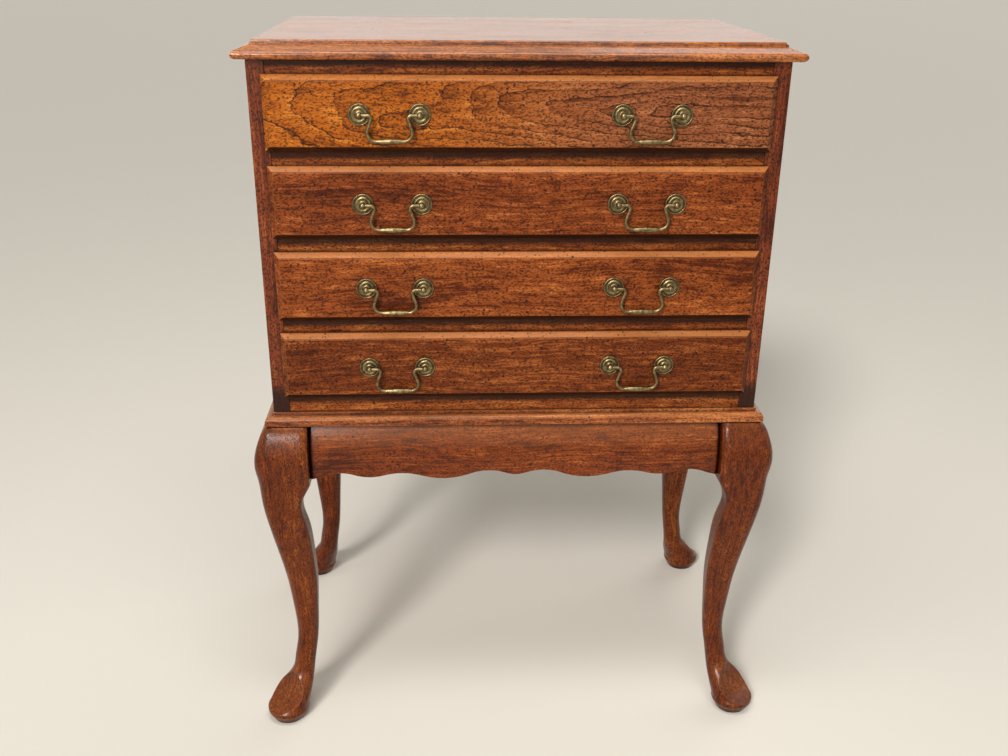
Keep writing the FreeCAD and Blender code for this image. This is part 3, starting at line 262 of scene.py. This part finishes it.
def antiqued(shader, place):
    """Dark spatter and scars over the finish, from 0 to 1."""
    fine_strength = 0.8
    fine = dots(shader, place, spacing=0.0035, radius=0.0009, share=0.55)
    coarse = dots(shader, place, spacing=0.0085, radius=0.0013, share=0.45)
    scars = dents(shader, place, spacing=0.075, share=0.6)
    specks = shader.math("MAXIMUM", shader.math("MULTIPLY", fine, fine_strength), coarse)
    return shader.math("MAXIMUM", specks, scars)


def painted_lip_shade(shader):
    """1 where a drawer front faces down: painted shade under the lip."""
    return shader.ease(shader.split(shader.facing())[2], -0.6, -0.25, 1.0, 0.0)


def painted_lip_shadow(shader):
    """1 on the rails just below each drawer's lip, fading further down: a painted shadow of the
    lip.
    """
    drop = shader.math("SUBTRACT", FIRST_FLOOR, shader.split(shader.place())[2])
    drop = shader.math("FLOORED_MODULO", drop, DRAWER_PITCH)
    return shader.ease(drop, 0.008, 0.016, 1.0, 0.0)


def stile_foot(shader):
    """1 at the foot of the side panels' front edges."""
    edge_depth = 0.008
    _, depth, height = shader.split(shader.place())
    on_front = shader.ease(depth, FRONT_PLANE, FRONT_PLANE + edge_depth, 1.0, 0.0)
    return shader.math("MULTIPLY", on_front, shader.ease(height, *STILE_FOOT, 1.0, 0.0))


# Stained wood

# Dark glaze for the pores, also used as painted shade in recesses and under the drawer lips
GLAZE_AND_SHADE = srgb(30, 12, 6)
FLECK = srgb(24, 10, 6)
# Pale worn wood, also used as painted light on open edges and on faces that look up
WORN_AND_LIT = srgb(206, 130, 70)
RING_LINE = srgb(50, 22, 8)
WOOD_SWIRL = 0.035
WOOD_EDGE = 0.0011
WOOD_RELIEF = 0.00004
PORE_STRENGTH = 0.65
PORE_DEPTH = -0.5
SPECK_STRENGTH = 0.88
SPECK_DEPTH = -1.2
SPECK_DULLNESS = 0.2
EDGE_WEAR_AND_HIGHLIGHT = 0.45
# Strength of the extra darkening: painted shade and shadow under the drawer lips, and the darker
# stile foot
DARKENING_STRENGTH = 0.9
# Reaches of the painted shade in recesses and creases
RECESS_REACH = 0.013
CREASE_REACH = 0.003
SHINE_SPREAD = 0.14


def wear_and_painted_light(shader, soft_normal, open_air, top_light):
    """How much paler the wood is made: worn and with a painted highlight along open edges, and
    painted light from above on faces that look up.
    """
    facing = shader.facing()
    turned = shader.math("SUBTRACT", 1.0, shader.vector("DOT_PRODUCT", soft_normal, facing))
    # Open edges: worn paler, with a painted highlight
    on_edge = shader.ease(turned, 0.01, 0.16)
    edges = shader.math("MULTIPLY", on_edge, shader.ease(open_air, 0.8, 1.0))
    # Painted light: faces that look up are made paler, as if lit from above
    painted_top_light = shader.ease(shader.split(facing)[2], 0.08, 0.65)
    edges = shader.math("MULTIPLY", edges, EDGE_WEAR_AND_HIGHLIGHT)
    return shader.math("MAXIMUM", edges, shader.math("MULTIPLY", painted_top_light, top_light))


def glaze_and_shade(shader, open_air, darkening):
    """How dark the wood is made: glaze and painted shade in recesses and creases, and the extra
    darkening given.
    """
    recess_shade = shader.ease(open_air, 0.25, 0.9, 0.95, 0.0)
    crease_shade = shader.ease(shader.openness(CREASE_REACH), 0.35, 0.8, 0.9, 0.0)
    amount = shader.math("MAXIMUM", recess_shade, crease_shade)
    # Extra darkening: painted shade and shadow under the drawer lips, or the darker foot of the
    # side panels' front edges
    if darkening:
        extra_dark = shader.math("MULTIPLY", darkening(shader), DARKENING_STRENGTH)
        amount = shader.math("MAXIMUM", amount, extra_dark)
    return amount


def lacquered(shader, grain, streaks, colour, roughness, gloss, top_light, darkening=None):
    """Pores, wear with painted light, spatter, glaze with painted shade, and a satin lacquer over
    coloured wood.
    """
    pores = shader.noise(stretched(shader, grain, 320.0, 640.0), detail=1.0)
    pores = shader.ease(pores, 0.50, 0.60)
    soft_normal = shader.softened_normal(WOOD_EDGE)
    open_air = shader.openness(RECESS_REACH)
    specks = antiqued(shader, shader.place())

    colour = shader.mix(shader.math("MULTIPLY", pores, PORE_STRENGTH), colour, GLAZE_AND_SHADE)
    # Real edge wear, plus painted light on open edges and on faces that look up
    colour = shader.mix(wear_and_painted_light(shader, soft_normal, open_air, top_light), colour, WORN_AND_LIT)
    colour = shader.mix(shader.math("MULTIPLY", specks, SPECK_STRENGTH), colour, FLECK)
    # Glaze and painted shade: darker in recesses and creases, and where extra darkening is given
    colour = shader.mix(glaze_and_shade(shader, open_air, darkening), colour, GLAZE_AND_SHADE)

    cloud = shader.noise(stretched(shader, grain, 14.0, 22.0), detail=3.0)
    shine = shader.math("MULTIPLY_ADD", cloud, SHINE_SPREAD, roughness - SHINE_SPREAD / 2)
    shine = shader.math("MULTIPLY_ADD", specks, SPECK_DULLNESS, shine)
    height = shader.math("MULTIPLY_ADD", pores, PORE_DEPTH, streaks)
    height = shader.math("MULTIPLY_ADD", specks, SPECK_DEPTH, height)
    normal = shader.bump(height, WOOD_RELIEF, soft_normal)
    return shader.finish(
        Base_Color=colour, Roughness=shine, Normal=normal, Specular_IOR_Level=gloss,
    )


def cherry(name, along, offset, colours, finish):
    """Stained and lacquered wood, speckled and scarred as antiqued furniture is."""
    shader = Shader(name)
    grain = swirled(shader, grain_space(shader, along, offset), WOOD_SWIRL)
    tone, streaks = wood_tone(shader, grain)
    colour = three_tones(shader, tone, colours)
    return lacquered(shader, grain, streaks, colour, **finish)


def figured_cherry(name, left_colours, right_colours, finish):
    """The first drawer's board: thin dark arches over wood that goes from golden to brown."""
    tone_calm = 0.75
    tone_lift = 0.36
    ring_shade = -0.22
    shader = Shader(name)
    straight = grain_space(shader, "x", (0, 0, 0))
    grain = swirled(shader, straight, WOOD_SWIRL)
    tone, streaks = wood_tone(shader, grain)
    to_edge, share = arched_rings(
        shader, straight, heart=(0.22, 0.784), slant=0.13, spacing=0.0076, wander=0.024,
    )
    tone = shader.math("MULTIPLY_ADD", tone, tone_calm, tone_lift)
    tone = shader.math("MULTIPLY_ADD", share, ring_shade, tone)
    across_front = shader.split(shader.place())[0]
    colour = shader.mix(
        shader.ease(across_front, -0.16, 0.14),
        three_tones(shader, tone, left_colours),
        three_tones(shader, tone, right_colours),
    )
    line = shader.ease(to_edge, 0.0002, 0.0008, 1.0, 0.0)
    fading = shader.noise(stretched(shader, grain, 18.0, 40.0), detail=2.0)
    line = shader.math("MULTIPLY", line, shader.ease(fading, 0.38, 0.54, 0.35, 0.9))
    colour = shader.mix(line, colour, RING_LINE)
    return lacquered(shader, grain, streaks, colour, **finish)


# Plain wood, metal and felt

def plain_wood(name, along, offset, deep, pale):
    """Unstained inner wood with a thin sealer."""
    swirl = 0.02
    pore_strength = 0.35
    recess_reach = 0.012
    relief = 0.00012
    edge = 0.0008
    shader = Shader(name)
    grain = swirled(shader, grain_space(shader, along, offset), swirl)
    tone, streaks = wood_tone(shader, grain)
    colour = shader.mix(shader.ease(tone, 0.7, 1.3), deep, pale)
    pores = shader.noise(stretched(shader, grain, 60.0, 700.0), detail=1.0)
    pores = shader.ease(pores, 0.58, 0.7)
    colour = shader.mix(shader.math("MULTIPLY", pores, pore_strength), colour, deep)
    # Painted shade: darker in recesses
    recess_shade = shader.ease(shader.openness(recess_reach), 0.2, 0.9, 0.5, 0.0)
    colour = shader.mix(recess_shade, colour, GLAZE_AND_SHADE)
    normal = shader.bump(streaks, relief, shader.softened_normal(edge))
    roughness = shader.ease(streaks, 0.3, 0.7, 0.62, 0.5)
    return shader.finish(Base_Color=colour, Roughness=roughness, Normal=normal)


def brass():
    """Antiqued brass: bright on its high places, brown in its grooves."""
    groove_reach = 0.0025
    scuff_share = 0.35
    open_share = 0.8
    relief = 0.00002
    edge = 0.0002
    shader = Shader("antique_brass")
    place = shader.place()
    cloud = shader.noise(shader.scaled(place, 260.0), detail=4.0)
    scuff = shader.noise(shader.scaled(place, 1700.0), detail=2.0)
    metal = shader.mix(shader.ease(cloud, 0.3, 0.7), srgb(94, 80, 54), srgb(142, 124, 86))
    exposed = shader.ease(shader.openness(groove_reach), 0.25, 0.85)
    clean = shader.math("MULTIPLY", exposed, open_share)
    clean = shader.math("MULTIPLY_ADD", scuff, scuff_share, clean)
    colour = shader.mix(shader.ease(clean, 0.25, 0.85), srgb(44, 35, 20), metal)
    roughness = shader.ease(shader.math("ADD", cloud, clean), 0.6, 1.5, 0.5, 0.34)
    normal = shader.bump(scuff, relief, shader.softened_normal(edge))
    return shader.finish(Base_Color=colour, Roughness=roughness, Normal=normal, Metallic=1.0)


def steel():
    """Dull plated steel."""
    edge = 0.0002
    shader = Shader("steel")
    cloud = shader.noise(shader.scaled(shader.place(), 400.0), detail=4.0)
    colour = shader.mix(cloud, srgb(120, 120, 122), srgb(176, 176, 178))
    roughness = shader.ease(cloud, 0.3, 0.7, 0.5, 0.3)
    normal = shader.softened_normal(edge)
    return shader.finish(Base_Color=colour, Roughness=roughness, Normal=normal, Metallic=1.0)


def felt(name, deep, pale):
    """Short matted pile."""
    nap_share = 0.6
    patch_share = 0.5
    relief = 0.0005
    edge = 0.0012
    shader = Shader(name)
    place = shader.place()
    nap = shader.noise(shader.scaled(place, 1500.0), detail=3.0, roughness=0.7)
    patch = shader.noise(shader.scaled(place, 26.0), detail=3.0)
    tone = shader.math("MULTIPLY", nap, nap_share)
    tone = shader.math("MULTIPLY_ADD", patch, patch_share, tone)
    colour = shader.mix(shader.ease(tone, 0.3, 0.8), deep, pale)
    normal = shader.bump(nap, relief, shader.softened_normal(edge))
    return shader.finish(
        Base_Color=colour, Roughness=0.95, Normal=normal, Sheen_Weight=0.35, Sheen_Roughness=0.5,
    )


# What each piece is made of

FRONT_COLOURS = {
    2: (srgb(76, 29, 8), srgb(128, 60, 23), srgb(172, 95, 45)),
    3: (srgb(84, 32, 8), srgb(138, 67, 25), srgb(182, 102, 47)),
    4: (srgb(60, 21, 5), srgb(106, 47, 15), srgb(150, 80, 35)),
}
GOLDEN_COLOURS = (srgb(112, 52, 8), srgb(168, 88, 20), srgb(206, 126, 46))
BROWN_COLOURS = (srgb(90, 45, 23), srgb(138, 77, 44), srgb(168, 104, 64))
CASE_COLOURS = (srgb(84, 34, 12), srgb(142, 72, 32), srgb(186, 112, 60))
# The top's cherry, made paler than the case as painted light from above
LIT_TOP_COLOURS = (srgb(100, 44, 10), srgb(162, 86, 30), srgb(204, 128, 58))
RAIL_COLOURS = (srgb(84, 34, 10), srgb(142, 70, 26), srgb(184, 108, 50))
STILE_COLOURS = (srgb(70, 27, 10), srgb(114, 50, 22), srgb(152, 80, 40))
APRON_COLOURS = (srgb(72, 24, 3), srgb(120, 51, 12), srgb(164, 86, 32))
LEG_COLOURS = (srgb(74, 25, 2), srgb(108, 45, 7), srgb(142, 74, 22))
INNER_COLOURS = (srgb(150, 108, 66), srgb(206, 170, 122))
BACK_COLOURS = (srgb(96, 58, 34), srgb(140, 92, 56))
FELT_COLOURS = (srgb(44, 24, 20), srgb(92, 56, 46))

# top_light paints light from above on upward faces; darkening paints shade under the drawer lips,
# shadow on the rails below them, or the darker stile foot
FRONT_FINISH = {"roughness": 0.32, "gloss": 0.12, "top_light": 0.5, "darkening": painted_lip_shade}
RAIL_FINISH = {"roughness": 0.3, "gloss": 0.12, "top_light": 0.3, "darkening": painted_lip_shadow}
STILE_FINISH = {"roughness": 0.3, "gloss": 0.2, "top_light": 0.3, "darkening": stile_foot}
TOP_FINISH = {"roughness": 0.15, "gloss": 0.5, "top_light": 0.2}
POLISHED = {"roughness": 0.21, "gloss": 0.22, "top_light": 0.3}
LEG_FINISH = {"roughness": 0.21, "gloss": 0.2, "top_light": 0.06}

RAILS = ("top_rail", "drawer_dividers", "bottom_rail")
SIDE_PANELS = ("right_side_panel", "left_side_panel")
WAIST_ACROSS = ("stand_frame_front", "stand_frame_back")
APRONS_ACROSS = ("front_apron", "back_apron")
LEGS = tuple(node for node in NODES if node.startswith("leg_"))


def dress(nodes, material):
    for node in nodes:
        NODES[node].material_slots[0].material = material


def finish_drawer_fronts():
    figured = figured_cherry("figured_front", GOLDEN_COLOURS, BROWN_COLOURS, FRONT_FINISH)
    dress(["drawer_1_front"], figured)
    for number, colours in FRONT_COLOURS.items():
        offset = (number * 1.7, number * 0.9, number * 0.37)
        board = cherry(f"front_{number}", "x", offset, colours, FRONT_FINISH)
        dress([f"drawer_{number}_front"], board)


def finish_case():
    top = cherry("top_wood", "x", (3.1, 0.4, 0.9), LIT_TOP_COLOURS, TOP_FINISH)
    rail = cherry("rail_wood", "x", (5.3, 0.2, 0.1), RAIL_COLOURS, RAIL_FINISH)
    waist = cherry("waist_wood", "x", (5.9, 0.6, 0.5), CASE_COLOURS, POLISHED)
    stile = cherry("stile_wood", "z", (1.3, 2.2, 0.7), STILE_COLOURS, STILE_FINISH)
    side_waist = cherry("side_moulding_wood", "y", (4.3, 1.2, 0.7), CASE_COLOURS, POLISHED)
    apron = cherry("apron_wood", "x", (6.1, 0.7, 0.3), APRON_COLOURS, POLISHED)
    side_apron = cherry("side_apron_wood", "y", (6.7, 0.1, 0.9), APRON_COLOURS, POLISHED)
    leg = cherry("leg_wood", "z", (2.3, 3.2, 1.7), LEG_COLOURS, LEG_FINISH)
    dress(["top_panel"], top)
    dress(RAILS, rail)
    dress(WAIST_ACROSS, waist)
    dress(SIDE_PANELS, stile)
    dress(["stand_frame_sides"], side_waist)
    dress(APRONS_ACROSS, apron)
    dress(["side_aprons"], side_apron)
    dress(LEGS, leg)


def finish_inside():
    lengthways = plain_wood("drawer_side_wood", "y", (0.3, 0.1, 0.2), *INNER_COLOURS)
    crossways = plain_wood("drawer_back_wood", "x", (0.7, 0.4, 0.1), *INNER_COLOURS)
    back = plain_wood("back_board", "z", (1.7, 0.4, 0.1), *BACK_COLOURS)
    dress(["back_panel"], back)
    dress(["bottom_panel", "corner_blocks"], crossways)
    dress(["drawer_runners", "top_cleats"], lengthways)
    for number in DRAWERS:
        dress([f"drawer_{number}_sides"], lengthways)
        dress([f"drawer_{number}_back", f"drawer_{number}_bottom"], crossways)


def finish_metal():
    dress(["top_screws", "corner_bolts"], steel())
    pull = brass()
    for number in DRAWERS:
        parts = ("rosettes", "posts", "left_bail", "right_bail")
        dress([f"drawer_{number}_{part}" for part in parts], pull)


# Felt linings

FELT_STEP = 0.008
FELT_EDGE = 0.004
FELT_SINK = 0.0004
FELT_WAVES = 22
FELT_EDGE_LOSS = 0.5


def felt_height(x, y, low, high, seed):
    """The pile's height: slow waves, thinned towards the sheet's edges."""
    to_edge = min(x - low.x, high.x - x, y - low.y, high.y - y)
    rolled = max(0.0, 1 - to_edge / FELT_EDGE) ** 2
    wave = 0.5 + 0.5 * noise.noise(Vector((x * FELT_WAVES, y * FELT_WAVES, seed)))
    return high.z - FELT_SINK * wave - (high.z - low.z) * FELT_EDGE_LOSS * rolled


def point_grid(mesh, low, high, height_at):
    """Rows of points over a rectangle."""
    columns = round((high.x - low.x) / FELT_STEP)
    rows = round((high.y - low.y) / FELT_STEP)
    grid = []
    for row in range(rows + 1):
        y = low.y + (high.y - low.y) * row / rows
        line = []
        for column in range(columns + 1):
            x = low.x + (high.x - low.x) * column / columns
            line.append(mesh.verts.new((x, y, height_at(x, y))))
        grid.append(line)
    return grid


def fill_grid(mesh, grid):
    for near, far in zip(grid, grid[1:]):
        for column in range(len(near) - 1):
            mesh.faces.new((near[column], near[column + 1], far[column + 1], far[column]))


def rim_of(grid):
    """The points round a grid's edge, in order."""
    rim = list(grid[0])
    rim += [line[-1] for line in grid[1:]]
    rim += list(reversed(grid[-1][:-1]))
    rim += [line[0] for line in reversed(grid[1:-1])]
    return rim


def join_rims(mesh, upper, lower):
    for index in range(len(upper)):
        following = (index + 1) % len(upper)
        mesh.faces.new((upper[index], upper[following], lower[following], lower[index]))


def felt_mesh(name, low, high, seed):
    mesh = bmesh.new()
    top = point_grid(mesh, low, high, lambda x, y: felt_height(x, y, low, high, seed))
    bottom = point_grid(mesh, low, high, lambda x, y: low.z)
    fill_grid(mesh, top)
    fill_grid(mesh, bottom)
    join_rims(mesh, rim_of(top), rim_of(bottom))
    bmesh.ops.recalc_face_normals(mesh, faces=mesh.faces)
    data = bpy.data.meshes.new(name)
    mesh.to_mesh(data)
    mesh.free()
    for polygon in data.polygons:
        polygon.use_smooth = True
    return data


def felt_sheet(number, material):
    """A sheet of felt laid on a drawer bottom, a little uneven and thinned at its edges."""
    name = f"felt_lining_{number}"
    node = f"drawer_{number}_lining"
    low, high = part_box(node)
    data = felt_mesh(name, low, high, seed=number * 7.3)
    data.materials.append(material)
    piece = add_object(name, data)
    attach(piece, f"drawer_{number}")
    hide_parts(node)


def finish_felt():
    lining = felt("lining_felt", *FELT_COLOURS)
    dress(["flatware_racks"], lining)
    for number in DRAWERS:
        felt_sheet(number, lining)


# Camera, floor and light

IMAGE_WIDTH = 1008
SENSOR_WIDTH = 36.0
FOCAL_PIXELS = 1049.65
CAMERA_PLACE = Vector((-0.0717, -1.2937, 0.9597))
CAMERA_YAW = 0.0499
CAMERA_PITCH = 0.4028
CAMERA_ROLL = 0.0109
FLOOR_COLOUR = srgb(234, 227, 213)
FLOOR_HALF = 30.0
BACKDROP = srgb(240, 238, 234)
WORLD_LIGHT = 0.18


def add_object(name, data):
    added = bpy.data.objects.new(name, data)
    bpy.context.scene.collection.objects.link(added)
    return added


def make_camera():
    data = bpy.data.cameras.new("camera")
    data.sensor_width = SENSOR_WIDTH
    data.lens = SENSOR_WIDTH * FOCAL_PIXELS / IMAGE_WIDTH
    data.clip_end = 100.0
    camera = add_object("camera", data)
    ahead = Vector((math.sin(CAMERA_YAW), math.cos(CAMERA_YAW), 0))
    right = Vector((math.cos(CAMERA_YAW), -math.sin(CAMERA_YAW), 0))
    forward = ahead * math.cos(CAMERA_PITCH) - Vector((0, 0, math.sin(CAMERA_PITCH)))
    up = right.cross(forward)
    rolled_right = right * math.cos(CAMERA_ROLL) + up * math.sin(CAMERA_ROLL)
    rolled_up = up * math.cos(CAMERA_ROLL) - right * math.sin(CAMERA_ROLL)
    turn = Matrix((rolled_right, rolled_up, -forward)).transposed()
    camera.matrix_world = Matrix.Translation(CAMERA_PLACE) @ turn.to_4x4()
    bpy.context.scene.camera = camera


def make_floor():
    signs = ((-1, -1), (1, -1), (1, 1), (-1, 1))
    corners = [(FLOOR_HALF * x, FLOOR_HALF * y, 0) for x, y in signs]
    data = bpy.data.meshes.new("floor")
    data.from_pydata(corners, [], [(0, 1, 2, 3)])
    data.materials.append(Shader("floor").finish(Base_Color=FLOOR_COLOUR, Roughness=0.9))
    add_object("floor", data)


def make_world():
    """A pale surround for the camera and reflections, and an even soft light for the rest."""
    world = bpy.data.worlds.new("studio")
    bpy.context.scene.world = world
    world.use_nodes = True
    nodes = world.node_tree.nodes
    links = world.node_tree.links
    background = nodes["Background"]
    background.inputs["Color"].default_value = BACKDROP
    path = nodes.new("ShaderNodeLightPath")
    seen = path.outputs["Is Camera Ray"]
    for ray in ("Is Glossy Ray", "Is Transmission Ray"):
        either = nodes.new("ShaderNodeMath")
        either.operation = "MAXIMUM"
        links.new(seen, either.inputs[0])
        links.new(path.outputs[ray], either.inputs[1])
        seen = either.outputs[0]
    strength = nodes.new("ShaderNodeMapRange")
    links.new(seen, strength.inputs["Value"])
    strength.inputs["To Min"].default_value = WORLD_LIGHT
    strength.inputs["To Max"].default_value = 1.0
    links.new(strength.outputs[0], background.inputs["Strength"])


def add_light(name, kind, energy, place, target):
    data = bpy.data.lights.new(name, kind)
    data.energy = energy
    light = add_object(name, data)
    light.location = place
    direction = Vector(target) - Vector(place)
    light.rotation_euler = direction.to_track_quat("-Z", "Y").to_euler()
    return data


def add_sun(name, energy, place, target, degrees):
    """A distant light; more degrees give softer shadows."""
    data = add_light(name, "SUN", energy, place, target)
    data.angle = math.radians(degrees)


def add_panel(name, energy, place, target, width, height):
    """A rectangular studio light."""
    data = add_light(name, "AREA", energy, place, target)
    data.shape = "RECTANGLE"
    data.size = width
    data.size_y = height


def make_lights():
    middle = (0, 0, 0.5)
    case_front = (0, -0.15, 0.6)
    add_sun("key", 1.8, (-0.8, -1.72, 1.85), middle, degrees=12)
    add_sun("rear_fill", 0.7, (1.6, 2.0, 2.2), middle, degrees=50)
    add_panel("front_panel", 9.0, (-0.5, -3.2, 1.35), middle, width=3.0, height=2.0)
    add_panel("front_lamp", 14.0, (-0.8, -2.2, 1.3), middle, width=0.45, height=0.4)
    add_panel("overhead_panel", 19.0, (-0.15, -0.6, 2.3), case_front, width=1.4, height=0.6)


bpy.context.scene.view_settings.view_transform = "Standard"
make_camera()
make_floor()
make_world()
make_lights()
finish_drawer_fronts()
finish_case()
finish_inside()
finish_metal()
finish_felt()
